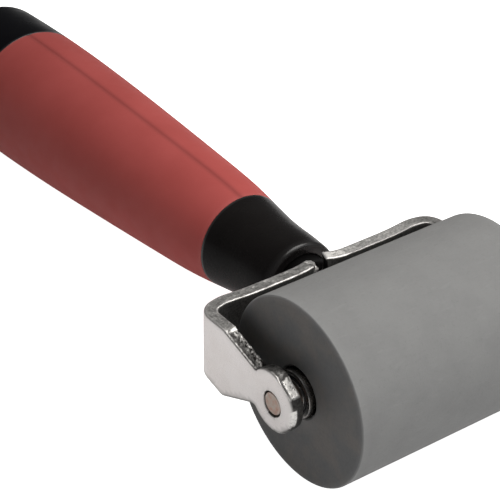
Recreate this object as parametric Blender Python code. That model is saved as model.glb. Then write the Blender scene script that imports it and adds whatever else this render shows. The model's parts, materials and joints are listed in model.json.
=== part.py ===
"""Rubber brayer: a rubber roller on two ball bearings in a bent steel fork, with a soft-grip handle.

The tool is drawn lying along +Y: X is the roller's axis, +Y runs back along the handle, +Z is up.
Lengths in the sizes below are millimetres. The finished tool lies on a table at z = 0, resting on
its roller and on the belly of its handle.
"""
import math

import bmesh
import bpy
import numpy as np
from mathutils import Matrix, Vector

MM = 0.001

# ---------------------------------------------------------------- driving sizes, in millimetres
GAP = 0.3               # clearance kept between pieces that touch in the real tool
SLACK = 0.15            # smaller clearance, half of GAP, on each side of a joint face

ROLLER_R = 20.0
ROLLER_L = 50.0
ROLLER_EDGE = 0.4       # rounding of the rubber's two edges
ROLLER_SHIFT = 1.0      # the roller sits pushed along its pin to the +X side
RUBBER_BORE_R = 7.0
RUBBER_LIP_R = 5.6      # smaller hole in the rubber's end faces
RUBBER_LIP = 1.0

CORE_R = 6.7
CORE_SEAT_R = 5.3       # seats of the two bearings
CORE_BORE_R = 4.5

PIN_R = 2.45
PIN_HOLE_R = 2.66
PIN_CHAMFER = 0.25

BEARING_OUT = 1.15      # how far each bearing stands out of the rubber's end face
BEARING_W = 4.0
RING_OUTER = (4.3, 5.1)             # inner and outer radius
RING_INNER = (2.6, 3.2)
RING_CHAMFER = 0.18
SEAL_R = (3.36, 4.14)
SEAL_T = 0.34
SEAL_AT = 1.6           # from the bearing's middle to a seal's middle
BALL_PITCH_R = 3.75
BALL_R = 0.62
GROOVE_R = 0.75
BALLS = 7
CAGE_W = 0.9
CAGE_R = (3.5, 3.95)

FORK_HALF_W = 30.33     # outer face of an arm from the middle
PLATE_T = 2.85
CROSS_REAR_Y = 25.35    # back face of the crossbar
CROSS_MIDDLE_BULGE = 0.95           # how far the crossbar stands further back at its middle
CROSS_BEND_BULGE = 0.55             # and beside each bend
BEND_R = 4.6            # outer radius of the two bends
BEND_BACK = 0.25        # the bends reach this much behind the crossbar's back face
ARM_TIP_Y = -9.0        # in front of everything that the side outline keeps
ARM_TOP = 8.05
ARM_BOTTOM = -8.3
CROSS_BOTTOM = -7.1
BOSS_R = 6.75
BOSS_UP = 0.45          # the arm's round end stands this much above the pin's middle
BOSS_BACK = 0.3         # and this much behind it
NOTCH_TOP_Z = 3.9       # bottom of the notch in the crossbar's top edge
NOTCH_BOTTOM_Z = -5.3   # top of the notch in its bottom edge
NOTCH_X = (-0.75, 1.6)  # the notch's two walls
BROKEN_X = 2.2          # on the -X side, the top edge is broken off from here to the notch

HANDLE_Y, HANDLE_Z = 24.0, -0.7     # where the handle's axis starts, seen from the roller's axis
HANDLE_DROOP = 2.52                 # degrees, back end down
TANG_R = 3.0
TANG_HOLE_R = 3.3
TANG_HEAD_R = 3.9
TANG_HEAD_T = 1.0
TANG_END_S = 74.5
TANG_BORE_END_S = 76.0
COLLAR_R = 6.6
COLLAR_EDGE = 0.5
NECK_SOCKET_R = 6.9     # hole in the ferrule's nose, around the collar
CORE_NECK_R = 7.6       # the handle core's front end
FERRULE_BORE_R = 7.9
FERRULE_NOSE = 0.9      # rounding of the ferrule's front edge
NOSE_T = 3.2            # thickness of the ferrule's front wall
FERRULE_S = (6.0, 27.0)
GRIP_S = (27.0, 112.6)
CAP_S = (112.6, 133.0)
CAP_CORNER = 2.4
CAP_END_T = 4.0
GRIP_WALL = 3.2
LOCK_S = 60.0           # where the cross pin goes through tang and core
LOCK_R = 1.05
LOCK_HOLE_R = 1.3
HANDLE_SKIN = [         # distance along the handle, radius
    (6, 9.05), (11, 9.40), (17, 9.62), (25, 10.57), (33, 11.68),
    (45, 12.67), (75, 14.55), (105, 15.86), (120, 16.0), (133, 15.8)]
REACH = 40.0            # half length of cutters that go right through


# ---------------------------------------------------------------- where things go
def handle_radius(s):
    """Outside radius of the handle at a distance s along its axis, smoothly between stations."""
    xs = np.array([p[0] for p in HANDLE_SKIN], float)
    ys = np.array([p[1] for p in HANDLE_SKIN], float)
    slope = np.gradient(ys, xs)
    i = int(np.clip(np.searchsorted(xs, s) - 1, 0, len(xs) - 2))
    h = xs[i + 1] - xs[i]
    t = (s - xs[i]) / h
    return ((1 + 2 * t) * (1 - t) ** 2 * ys[i] + t * (1 - t) ** 2 * h * slope[i]
            + t * t * (3 - 2 * t) * ys[i + 1] + t * t * (t - 1) * h * slope[i + 1])


def rest_angle():
    """Tilt that lets the handle's belly and the roller touch one flat table."""
    low, high = math.radians(-2.0), math.radians(4.0)
    for _ in range(40):
        tilt = (low + high) / 2
        lowest = min(math.sin(tilt) * y + math.cos(tilt) * z for y, z in belly())
        low, high = (tilt, high) if lowest < -ROLLER_R else (low, tilt)
    return high


def belly():
    """Points (y, z) along the handle's underside, in the roller's frame."""
    droop = math.radians(HANDLE_DROOP)
    for s in np.arange(FERRULE_S[0], CAP_S[1], 0.5):
        r = handle_radius(s)
        yield (HANDLE_Y + s * math.cos(droop) - r * math.sin(droop),
               HANDLE_Z - s * math.sin(droop) - r * math.cos(droop))


REST = rest_angle()
MIDDLE_Y = 68.6         # puts the middle of the whole tool's length over the origin
ON_TABLE = Matrix.Translation(Vector((0, -MIDDLE_Y, ROLLER_R)) * MM) @ Matrix.Rotation(REST, 4, 'X')
ALONG_HANDLE = (ON_TABLE @ Matrix.Translation(Vector((0, HANDLE_Y, HANDLE_Z)) * MM)
                @ Matrix.Rotation(math.radians(-HANDLE_DROOP), 4, 'X'))
QUARTER_TURN = Matrix.Rotation(math.radians(90), 4, 'Z')
ON_ROLLER = ON_TABLE @ Matrix.Translation(Vector((ROLLER_SHIFT, 0, 0)) * MM)


# ---------------------------------------------------------------- materials
def material(name, colour, metallic, roughness):
    mat = bpy.data.materials.new(name)
    mat.use_nodes = True
    shader = mat.node_tree.nodes["Principled BSDF"]
    shader.inputs["Base Color"].default_value = (*colour, 1.0)
    shader.inputs["Metallic"].default_value = metallic
    shader.inputs["Roughness"].default_value = roughness
    mat.diffuse_color = (*colour, 1.0)
    return mat


PLATED = dict(colour=(0.62, 0.60, 0.58), metallic=1.0, roughness=0.3)
STEEL = dict(colour=(0.55, 0.55, 0.56), metallic=1.0, roughness=0.35)
RUBBER = dict(colour=(0.26, 0.26, 0.26), metallic=0.0, roughness=0.75)
CORE = dict(colour=(0.6, 0.6, 0.62), metallic=1.0, roughness=0.4)
SEAL = dict(colour=(0.015, 0.015, 0.015), metallic=0.0, roughness=0.5)
BLACK = dict(colour=(0.012, 0.012, 0.012), metallic=0.0, roughness=0.45)
HARD = dict(colour=(0.03, 0.03, 0.03), metallic=0.0, roughness=0.5)
RED = dict(colour=(0.36, 0.085, 0.07), metallic=0.0, roughness=0.6)


# ---------------------------------------------------------------- mesh helpers
def add_object(name, verts, faces, place, look, smooth=True, angle=35):
    mesh = bpy.data.meshes.new(name)
    mesh.from_pydata([Vector(v) * MM for v in verts], [], faces)
    mesh.validate()
    bm = bmesh.new()
    bm.from_mesh(mesh)
    bmesh.ops.recalc_face_normals(bm, faces=bm.faces)
    if bm.calc_volume(signed=True) < 0:
        bmesh.ops.reverse_faces(bm, faces=bm.faces)
    bm.to_mesh(mesh)
    bm.free()
    obj = bpy.data.objects.new(name, mesh)
    bpy.context.collection.objects.link(obj)
    obj.matrix_world = place
    mesh.materials.append(material(name, **look))
    if smooth:
        for poly in mesh.polygons:
            poly.use_smooth = True
        mesh.set_sharp_from_angle(angle=math.radians(angle))
    return obj


def turned(name, profile, axis, place, look, steps=48, angle=35):
    """Turn a closed outline of (along, radius) points round the X or Y axis."""
    verts, rings = [], []
    for a, r in profile:
        if r < 1e-6:
            rings.append([len(verts)] * steps)
            verts.append((a, 0, 0) if axis == "X" else (0, a, 0))
            continue
        ring = []
        for k in range(steps):
            t = 2 * math.pi * k / steps
            ring.append(len(verts))
            c, s = r * math.cos(t), r * math.sin(t)
            verts.append((a, c, s) if axis == "X" else (c, a, s))
        rings.append(ring)
    faces = []
    for i, one in enumerate(rings):
        two = rings[(i + 1) % len(rings)]
        if one[0] == one[1] and two[0] == two[1]:
            continue
        for k in range(steps):
            n = (k + 1) % steps
            quad = [one[k], one[n], two[n], two[k]]
            face = [v for j, v in enumerate(quad) if v not in quad[:j]]
            faces.append(face)
    return add_object(name, verts, faces, place, look, angle=angle)


def prism(name, outline, axis, low, high, place, look=None):
    """Extrude a closed outline. axis Z: outline is (x, y). axis X: outline is (y, z)."""
    n = len(outline)
    if axis == "Z":
        verts = [(x, y, low) for x, y in outline] + [(x, y, high) for x, y in outline]
    else:
        verts = [(low, y, z) for y, z in outline] + [(high, y, z) for y, z in outline]
    faces = [list(range(n)), list(range(2 * n - 1, n - 1, -1))]
    faces += [[i, (i + 1) % n, n + (i + 1) % n, n + i] for i in range(n)]
    return add_object(name, verts, faces, place, look or HARD, smooth=False)


def boolean(obj, tool, operation):
    """Cut, join or cross obj with tool, and let the tool go."""
    mod = obj.modifiers.new("cut", 'BOOLEAN')
    mod.operation, mod.solver, mod.object = operation, 'EXACT', tool
    bpy.context.view_layer.update()
    solid = bpy.data.meshes.new_from_object(obj.evaluated_get(bpy.context.evaluated_depsgraph_get()))
    obj.modifiers.clear()
    obj.data = solid
    bpy.data.objects.remove(tool)
    return obj


def finish_smooth(obj, look, angle=32):
    """One material and tidy shading on a piece made by cutting."""
    obj.data.materials.clear()
    obj.data.materials.append(material(obj.name, **look))
    for poly in obj.data.polygons:
        poly.use_smooth = True
    obj.data.set_sharp_from_angle(angle=math.radians(angle))
    return obj


def arc(cx, cy, r, start, end, steps):
    """Points on an arc, angles in degrees."""
    return [(cx + r * math.cos(math.radians(start + (end - start) * k / steps)),
             cy + r * math.sin(math.radians(start + (end - start) * k / steps)))
            for k in range(steps + 1)]


# ---------------------------------------------------------------- fork
def cross_bulge(x):
    """How far the crossbar stands back from its straight line at x."""
    near_middle = CROSS_MIDDLE_BULGE * math.exp(-(x / 3.6) ** 2)
    near_bends = CROSS_BEND_BULGE * math.exp(-((abs(x) - 24.5) / 4.5) ** 2)
    return near_middle + near_bends


def fork_plan():
    """Outline of the bent plate seen from above, one closed loop of (x, y)."""
    half, t, r = FORK_HALF_W, PLATE_T, BEND_R
    back = CROSS_REAR_Y + BEND_BACK
    right = [(half, ARM_TIP_Y), (half, back - r)] + arc(half - r, back - r, r, 0, 90, 8)[1:]
    xs = [24.0, 21.0, 17.0, 13.0, 9.0, 6.5, 5.0, 3.5, 2.0, 0.0]
    rear = [(x, CROSS_REAR_Y + cross_bulge(x)) for x in xs]
    inner = r - t
    front = [(x, CROSS_REAR_Y - t + cross_bulge(x)) for x in reversed(xs)]
    front += list(reversed(arc(half - r, back - r, inner, 0, 90, 6)))[1:]
    front += [(half - t, ARM_TIP_Y)]
    return mirrored(right + rear) + [(-x, y) for x, y in reversed(front[1:])] + front


def mirrored(half):
    """A half outline of (x, y) that ends on the middle, with its mirror image after it."""
    return half + [(-x, y) for x, y in reversed(half[:-1])]


def fork_side():
    """Outline of the fork seen from the side, (y, z)."""
    boss = arc(BOSS_BACK, BOSS_UP, BOSS_R, 42, 314, 26)
    top = [(REACH, ARM_TOP), (16.4, ARM_TOP), (15.6, ARM_TOP - 0.12), (15.0, ARM_TOP - 0.32)]
    top_waist = [(7.2, 5.38), (6.4, 5.12), (5.8, 5.02)]
    low_waist = [(5.3, -4.3), (6.2, -4.1), (7.1, -4.15)]
    bottom = [(15.2, -7.85), (16.0, -8.2), (16.9, ARM_BOTTOM), (22.0, CROSS_BOTTOM), (REACH, CROSS_BOTTOM)]
    return top + top_waist + boss + low_waist + bottom


def through(r):
    """Profile of a long round cutter of radius r."""
    return [(-REACH, 0), (-REACH, r), (REACH, r), (REACH, 0)]


def fork():
    tall = ARM_TOP + 6.0
    frame = prism("fork_frame", fork_plan(), "Z", -tall, tall, ON_TABLE)
    boolean(frame, prism("side", fork_side(), "X", -REACH, REACH, ON_TABLE), 'INTERSECT')
    boolean(frame, turned("pin_hole", through(PIN_HOLE_R), "X", ON_TABLE, HARD, 40), 'DIFFERENCE')
    boolean(frame, turned("tang_hole", through(TANG_HOLE_R), "Y", ALONG_HANDLE, HARD, 32), 'DIFFERENCE')
    notch = [(NOTCH_X[0], 21.0), (NOTCH_X[1] - 0.48, 21.0), (NOTCH_X[1] + 0.44, 28.5), (NOTCH_X[0], 28.5)]
    boolean(frame, prism("notch", notch, "Z", NOTCH_TOP_Z, tall, ON_TABLE), 'DIFFERENCE')
    boolean(frame, prism("notch", notch, "Z", -tall, NOTCH_BOTTOM_Z, ON_TABLE), 'DIFFERENCE')
    low, high = ARM_TOP - 0.97, ARM_TOP + 0.24
    broken = [(BROKEN_X - 2.0, low), (BROKEN_X + 0.5, high), (BROKEN_X - 2.0, high)]
    boolean(frame, prism("corner", broken, "X", 20.0, 30.0, ON_TABLE @ QUARTER_TURN), 'DIFFERENCE')
    return finish_smooth(frame, PLATED)


# ---------------------------------------------------------------- roller, pin and bearings
def axle():
    end, c = FORK_HALF_W - SLACK, PIN_CHAMFER
    half = [(end - c, PIN_R), (end, PIN_R - c), (end, 0)]
    turned("axle_pin", both_ends(half), "X", ON_TABLE, STEEL, 32)


def both_ends(half):
    """A profile's +X half, closed by its mirror image."""
    return half + [(-a, r) for a, r in reversed(half)]


def roller_rubber():
    h, c = ROLLER_L / 2, ROLLER_EDGE
    edge = arc(h - c, ROLLER_R - c, c, 0, 90, 2)
    half = [(h - RUBBER_LIP, RUBBER_BORE_R), (h - RUBBER_LIP, RUBBER_LIP_R), (h, RUBBER_LIP_R)] + edge
    turned("roller_rubber", both_ends(half), "X", ON_ROLLER, RUBBER, 88)


def bearing_inner_face():
    """From the roller's middle to just short of a bearing's inner face."""
    return ROLLER_L / 2 + BEARING_OUT - BEARING_W - SLACK


def roller_core():
    h, seat = ROLLER_L / 2 - RUBBER_LIP - GAP, bearing_inner_face()
    half = [(seat, CORE_BORE_R), (seat, CORE_SEAT_R), (h, CORE_SEAT_R), (h, CORE_R)]
    turned("roller_core", both_ends(half), "X", ON_ROLLER, CORE, 36)


def spacer_tube():
    h = bearing_inner_face()
    half = [(h, RING_INNER[0]), (h, RING_INNER[1])]
    turned("axle_spacer_tube", both_ends(half), "X", ON_ROLLER, STEEL, 32)


def bearing(side, sign):
    """A sealed ball bearing at one end of the roller."""
    mid = sign * (ROLLER_L / 2 + BEARING_OUT - BEARING_W / 2)
    place = ON_ROLLER @ Matrix.Translation(Vector((mid, 0, 0)) * MM)
    h, c = BEARING_W / 2, RING_CHAMFER
    lo, hi = RING_OUTER
    profile = [(h, lo), (h, hi - c), (h - c, hi), (-h + c, hi), (-h, hi - c), (-h, lo)] + ring_groove(lo, 1)
    turned(f"bearing_{side}_outer_ring", profile, "X", place, STEEL, 40)
    lo, hi = RING_INNER
    profile = [(-h, hi), (-h, lo), (h, lo), (h, hi)] + [(-a, r) for a, r in ring_groove(hi, -1)]
    turned(f"bearing_{side}_inner_ring", profile, "X", place, STEEL, 32)
    balls_and_cage(side, place)
    for which, at in (("outer", sign * SEAL_AT), ("inner", -sign * SEAL_AT)):
        turned(f"bearing_{side}_{which}_seal", flat_ring(at, SEAL_T, SEAL_R), "X", place, SEAL, 40)


def flat_ring(at, width, radii):
    """Profile of a plain ring with its middle at the given place along its axis."""
    lo, hi = radii
    w = width / 2
    return [(at - w, lo), (at + w, lo), (at + w, hi), (at - w, hi)]


def ring_groove(wall_r, outward):
    """The ball track across a ring's wall, from -X to +X."""
    depth = abs(BALL_PITCH_R - wall_r)
    half = math.degrees(math.acos(depth / GROOVE_R))
    return [(-GROOVE_R * math.sin(math.radians(a)),
             BALL_PITCH_R + outward * GROOVE_R * math.cos(math.radians(a)))
            for a in np.linspace(half, -half, 5)]


def balls_and_cage(side, place):
    name = f"bearing_{side}_balls_and_cage"
    cage = turned(name, flat_ring(0, CAGE_W, CAGE_R), "X", place, STEEL, 42)
    outline = arc(0, 0, BALL_R, 180, 0, 6)
    outline = [(a, max(r, 0.0)) for a, r in outline]
    for k in range(BALLS):
        t = 2 * math.pi * (k + 0.5) / BALLS
        at = Vector((0, BALL_PITCH_R * math.cos(t), BALL_PITCH_R * math.sin(t)))
        boolean(cage, turned("ball", outline, "X", place @ Matrix.Translation(at * MM), STEEL, 10), 'UNION')
    finish_smooth(cage, STEEL, 40)


# ---------------------------------------------------------------- handle
def tang():
    """A round rod from the crossbar into the handle, with a riveted head in front of the crossbar."""
    head = CROSS_REAR_Y - PLATE_T + cross_bulge(TANG_HEAD_R) - GAP - HANDLE_Y
    front = head - TANG_HEAD_T
    profile = [(front, 0), (front + 0.05, 1.6), (front + 0.45, 3.3), (head, TANG_HEAD_R), (head, TANG_R),
               (TANG_END_S - 1.0, TANG_R), (TANG_END_S, TANG_R - 1.0), (TANG_END_S, 0)]
    rod = turned("handle_tang", profile, "Y", ALONG_HANDLE, STEEL, 32)
    boolean(rod, turned("cross_hole", through(LOCK_HOLE_R), "X", across_handle(), HARD, 20), 'DIFFERENCE')
    finish_smooth(rod, STEEL)


def across_handle():
    """Place of the cross pin, whose axis is the tool's X."""
    return ALONG_HANDLE @ Matrix.Translation(Vector((0, LOCK_S, 0)) * MM)


def neck_collar():
    front = CROSS_REAR_Y + CROSS_MIDDLE_BULGE + GAP - HANDLE_Y
    back = FERRULE_S[0] + 1.5
    profile = [(front, TANG_HOLE_R), (front, COLLAR_R - COLLAR_EDGE), (front + COLLAR_EDGE, COLLAR_R),
               (back, COLLAR_R), (back, TANG_HOLE_R)]
    turned("neck_collar", profile, "Y", ALONG_HANDLE, BLACK, 48)


def skin(low, high, count):
    """Points on the handle's outside from low to high."""
    return [(s, handle_radius(s)) for s in np.linspace(low, high, count)]


def under_grip(low, high, count, clear=0.0):
    """Points on the handle core's outside, or a little outside it."""
    return [(s, handle_radius(s) - GRIP_WALL + clear) for s in np.linspace(low, high, count)]


def front_ferrule():
    lo, hi, c = FERRULE_S[0], FERRULE_S[1] - SLACK, FERRULE_NOSE
    floor = lo + NOSE_T
    profile = [(lo, NECK_SOCKET_R)] + arc(lo + c, handle_radius(lo + c) - c, c, 180, 90, 4)
    profile += skin(lo + 2.5, hi, 7)
    profile += [(hi, FERRULE_BORE_R), (floor, FERRULE_BORE_R), (floor, NECK_SOCKET_R)]
    turned("front_ferrule", profile, "Y", ALONG_HANDLE, BLACK, 56)


def handle_core():
    lo, hi = FERRULE_S[0] + NOSE_T + GAP, CAP_S[1] - CAP_END_T
    profile = [(lo, TANG_HOLE_R), (lo, CORE_NECK_R), (FERRULE_S[1], CORE_NECK_R)]
    profile += under_grip(FERRULE_S[1] + 1.0, hi, 6)
    profile += [(hi, 0), (TANG_BORE_END_S, 0), (TANG_BORE_END_S, TANG_HOLE_R)]
    core = turned("handle_core", profile, "Y", ALONG_HANDLE, HARD, 48)
    boolean(core, turned("cross_hole", through(LOCK_HOLE_R), "X", across_handle(), HARD, 20), 'DIFFERENCE')
    finish_smooth(core, HARD)


def lock_pin():
    end, c = handle_radius(LOCK_S) - GRIP_WALL - 2 * GAP, SLACK
    half = [(end - c, LOCK_R), (end, LOCK_R - c), (end, 0)]
    turned("tang_lock_pin", both_ends(half), "X", across_handle(), STEEL, 20)


def grip_sleeve():
    lo, hi = GRIP_S[0] + SLACK, GRIP_S[1] - SLACK
    inner = under_grip(hi, lo + 1.5, 6, GAP)
    profile = skin(lo, hi, 14) + inner + [(lo, inner[-1][1])]
    turned("grip_sleeve", profile, "Y", ALONG_HANDLE, RED, 56)


def end_cap():
    lo, hi, c = CAP_S[0] + SLACK, CAP_S[1], CAP_CORNER
    floor = hi - CAP_END_T + GAP
    profile = skin(lo, hi - c - 1.0, 4) + arc(hi - c, handle_radius(hi) - c, c, 90, 0, 5)
    profile += [(hi, 0), (floor, 0)] + under_grip(floor, lo, 4, GAP)
    turned("end_cap", profile, "Y", ALONG_HANDLE, BLACK, 56)


# ---------------------------------------------------------------- build
def main():
    for obj in list(bpy.data.objects):
        bpy.data.objects.remove(obj)
    fork()
    axle()
    roller_rubber()
    roller_core()
    spacer_tube()
    bearing("left", -1)
    bearing("right", 1)
    tang()
    lock_pin()
    neck_collar()
    handle_core()
    front_ferrule()
    grip_sleeve()
    end_cap()


main()
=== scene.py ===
"""Looks of the rubber brayer: fine meshes, materials, floor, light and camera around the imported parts.

Lengths in the sizes below are millimetres, as in the CAD source. Three frames carry the pieces:
the tool's (roller axis X, handle along +Y), the handle's (its own axis Y) and the roller's.
"""

import json
import math

import bmesh
import bpy
import numpy as np
from mathutils import Matrix, Vector, noise
from mathutils.geometry import delaunay_2d_cdt


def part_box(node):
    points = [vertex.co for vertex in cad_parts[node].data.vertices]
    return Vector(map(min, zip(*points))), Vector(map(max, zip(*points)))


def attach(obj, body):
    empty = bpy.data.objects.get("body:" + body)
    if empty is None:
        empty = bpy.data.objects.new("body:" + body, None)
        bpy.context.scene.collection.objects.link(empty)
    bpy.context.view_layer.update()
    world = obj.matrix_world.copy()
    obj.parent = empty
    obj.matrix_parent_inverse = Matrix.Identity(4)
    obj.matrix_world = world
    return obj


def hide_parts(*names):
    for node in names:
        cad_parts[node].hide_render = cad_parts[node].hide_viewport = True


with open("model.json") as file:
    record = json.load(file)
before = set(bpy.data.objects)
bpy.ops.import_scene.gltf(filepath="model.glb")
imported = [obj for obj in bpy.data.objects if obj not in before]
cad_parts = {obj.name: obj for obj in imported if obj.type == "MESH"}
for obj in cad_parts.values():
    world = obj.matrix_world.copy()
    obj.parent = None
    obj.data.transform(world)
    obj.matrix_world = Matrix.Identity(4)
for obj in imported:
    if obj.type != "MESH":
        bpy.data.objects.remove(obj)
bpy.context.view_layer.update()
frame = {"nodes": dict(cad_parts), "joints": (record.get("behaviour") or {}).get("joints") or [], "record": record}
MM = 0.001

# ---------------------------------------------------------------- sizes, in millimetres
# roller, pin and bearings
ROLLER_EDGE = 0.35
BORE_R, BORE_CHAMFER = 5.45, 0.35
PIN_R, PIN_EDGE = 2.42, 0.28
PIN_HOLE_R = 2.7
BEARING_W = 4.0
RING_OUTER = ((4.3, 0.1), (5.1, 0.25))  # radius and rounding, on the balls' side and the other
RING_INNER = ((3.2, 0.2), (2.6, 0.1))
BALL_PITCH_R, GROOVE_R = 3.75, 0.75
SEAL_R, SEAL_AT = (3.24, 4.26), 1.68  # a seal's radii, and its place out from the bearing's middle

# the fork's plate
PLATE_T, FORK_HALF_W, CROSS_REAR_Y = 2.85, 30.33, 25.35
CROSS_BULGES = ((0.0, 0.95, 3.6), (24.5, 0.55, 4.5))  # place, height and width of each, along X
BEND_R, BEND_BACK = 4.6, 0.25  # the bends, which stand a little behind the crossbar
ARM_TOP, ARM_BOTTOM, CROSS_BOTTOM = 8.05, -8.41, -7.1
BOSS_R, BOSS_UP, BOSS_BACK = 6.75, 0.45, 0.3  # the arm's round end
BOSS_MARGIN, BOSS_NECK = 0.35, 5.2  # its edge lies within this of its radius, up to this far back
TANG_HOLE_R, TANG_HOLE_Z = 3.3, -0.72
NOTCH_TOP_Z, NOTCH_BOTTOM_Z = 3.9, -5.3
NOTCH_X, NOTCH_CORNER = (-0.75, 1.6), 0.4
NOTCH_LEAN, LEAN_END = 0.123, 3.0  # slant of the notch's wall, and how far along the crossbar it goes
BROKEN_X, BROKEN_DROP = -2.2, 0.7  # the crossbar's top edge is broken off from here to the notch
BROKEN_BEVEL = 0.7  # the break slopes through the inner half of the plate
TIP_BEND, TIP_U, TIP_W = 0.6, 1.0, 2.4  # how far the top edge is bent back on the notch's other side

# the plate's cut edge
ROLLOVER, BURR = 0.42, 0.26  # rounding of the cut edge at the plate's outer and inner face
ROLLOVER_STEPS, WALL_STEPS, BURR_STEPS = 5, 9, 4
LOW_ROLLOVER, LOW_EDGE_Z = 1.8, -2.5  # how much further the lower edges are rolled over, and from where
CUT_ROUGHNESS = 0.07  # depth of the roughness of the cut edge
TORN_DEPTH, TORN_BELOW = 0.14, 0.4  # torn metal lies up to this deep where it is darker than this
TORN_Y, TORN_Z = (5.0, 15.6), 4.5  # the stretch of an arm's upper edge that tore, above this height
TEAR_START_Y = 14.7  # the tear is still bright behind here
BAND_OUTER, BAND_INNER = 0.6, 0.5  # width of the cut edge's bands along the outer and inner face
INSIDE_PAINTED_SHADE_SHARE, INSIDE_PAINTED_SHADE_LIGHT = 1.0, 0.17  # painted shade on the fork's inner faces: how much of it, and how light it leaves them
# DARK_SHADE darkens torn metal on the arm's round end and is painted shade on the holes' walls; the notch's walls
# are torn metal, painted nearly black as shade in the notch
DARK_SHADE, NOTCH_PAINTED_SHADE = 0.12, 0.03
CROSS_FROM_Y = 20.0  # the crossbar's top edge, with the bends, is behind here

# The arm's round end, by the angle round its middle in degrees: back 0, up 90, front 180.
FLAT_FROM, FLAT_BRIGHT, FLAT_TO = 98.0, 112.0, 148.0  # a flat, burnished for most of its length
FLAT_FACES = 124.0
LIP_FROM, LIP_TO = 168.0, 202.0  # a burnished lip
LIP, LIP_BEVEL = 1.3, 0.9  # width and slope of the lip
DARK_TO = 228.0  # torn metal goes on below the lip

# the handle, with places measured along its axis from the front
HANDLE_LENGTH = 133.0
HANDLE_SKIN = [  # place and radius
    (6, 9.05), (11, 9.40), (17, 9.62), (25, 10.57), (33, 11.68),
    (45, 12.67), (75, 14.55), (105, 15.86), (120, 16.0), (133, 15.8)]
FERRULE_S, GRIP_S, CAP_S = (6.0, 27.0), (27.0, 112.6), (112.6, 133.0)
JOIN_GAP, JOIN_EDGE = 0.02, 0.12  # grip, ferrule and cap meet nearly flush
GRIP_WALL = 3.0
FERRULE_NOSE, FERRULE_FRONT, FERRULE_BORE_R = 0.9, 3.2, 8.0  # rounding, front wall, bore behind it
CAP_CORNER, CAP_DOME = 2.4, 0.1  # the cap's end falls away a little towards its rounded rim
CAP_BUTT_R, CAP_WALL, CAP_BORE_R = 4.0, 3.7, 12.8
COLLAR_R, COLLAR_BORE_R, COLLAR_EDGE = 6.6, 3.35, 0.7
COLLAR_GAP, COLLAR_IN = 0.12, 1.5  # room around the collar, and how far it goes into the ferrule
COLLAR_LEAN = 0.35  # it leans, so its front is this far behind that of its box
SKIN_DEPTH = 0.6  # less far inside than this is the handle's outside
SEAM_DEPTH, SEAM_HALF_W = 0.11, 0.8
SEAM_SHADOW = 0.7  # half width of the painted shade along the parting line


# ---------------------------------------------------------------- places, from the frame
def mount(name):
    """A mount of the part by name."""
    return next(m for m in frame["record"]["mounts"] if m["name"] == name)


def joint(name):
    """A joint of the part by name."""
    return next(j for j in frame["joints"] if j["name"] == name)


def middle(node):
    """The middle of a node's box."""
    low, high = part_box(node)
    return (low + high) / 2


AXLE = Vector(joint("roller_spin")["pos_m"])
ALONG_FORK = Vector(mount("arm_right_outer_face")["pos_m"]) - AXLE
TILT = math.atan2(ALONG_FORK.z, ALONG_FORK.y)
ON_TOOL = Matrix.Translation(AXLE) @ Matrix.Rotation(TILT, 4, 'X')
BUTT = Vector(mount("handle_butt")["pos_m"])
BACK = Vector(mount("handle_butt")["axis"]).normalized()
ON_HANDLE = (Matrix.Translation(BUTT - BACK * HANDLE_LENGTH * MM)
             @ Matrix.Rotation(math.atan2(BACK.z, BACK.y), 4, 'X'))
ON_ROLLER = Matrix.Translation(middle("roller_rubber"))
ROLLER_LOW, ROLLER_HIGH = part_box("roller_rubber")
ROLLER_R = (ROLLER_HIGH.z - ROLLER_LOW.z) / 2 / MM
ROLLER_L = (ROLLER_HIGH.x - ROLLER_LOW.x) / MM
FORK, ROLLER = "fork_and_handle", "roller"


# ---------------------------------------------------------------- curves
NEARLY_STRAIGHT = 1.57  # half of an angle so wide that its corner needs no rounding


def share(value, low, high):
    """How far value lies on the way from low to high, from 0 to 1."""
    return min(1.0, max(0.0, (value - low) / (high - low)))


def spline(ts, values):
    """A smooth (natural cubic) curve through the values, as a function of t."""
    t, v = np.array(ts, float), np.array(values, float)
    h = np.diff(t)
    n = len(t)
    a, b = np.eye(n), np.zeros(n)
    for i in range(1, n - 1):
        a[i, i - 1:i + 2] = h[i - 1], 2 * (h[i - 1] + h[i]), h[i]
        b[i] = 6 * ((v[i + 1] - v[i]) / h[i] - (v[i] - v[i - 1]) / h[i - 1])
    m = np.linalg.solve(a, b)

    def at(x):
        x = np.asarray(x, float)
        i = np.clip(np.searchsorted(t, x) - 1, 0, n - 2)
        p, q = t[i + 1] - x, x - t[i]
        return ((m[i] * p ** 3 + m[i + 1] * q ** 3) / (6 * h[i])
                + (v[i] / h[i] - m[i] * h[i] / 6) * p + (v[i + 1] / h[i] - m[i + 1] * h[i] / 6) * q)
    return at


handle_radius = spline(*zip(*HANDLE_SKIN))


def arc(cx, cy, r, start, end, steps):
    """Points on an arc, angles in degrees."""
    return [(cx + r * math.cos(math.radians(start + (end - start) * k / steps)),
             cy + r * math.sin(math.radians(start + (end - start) * k / steps)))
            for k in range(steps + 1)]


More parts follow.
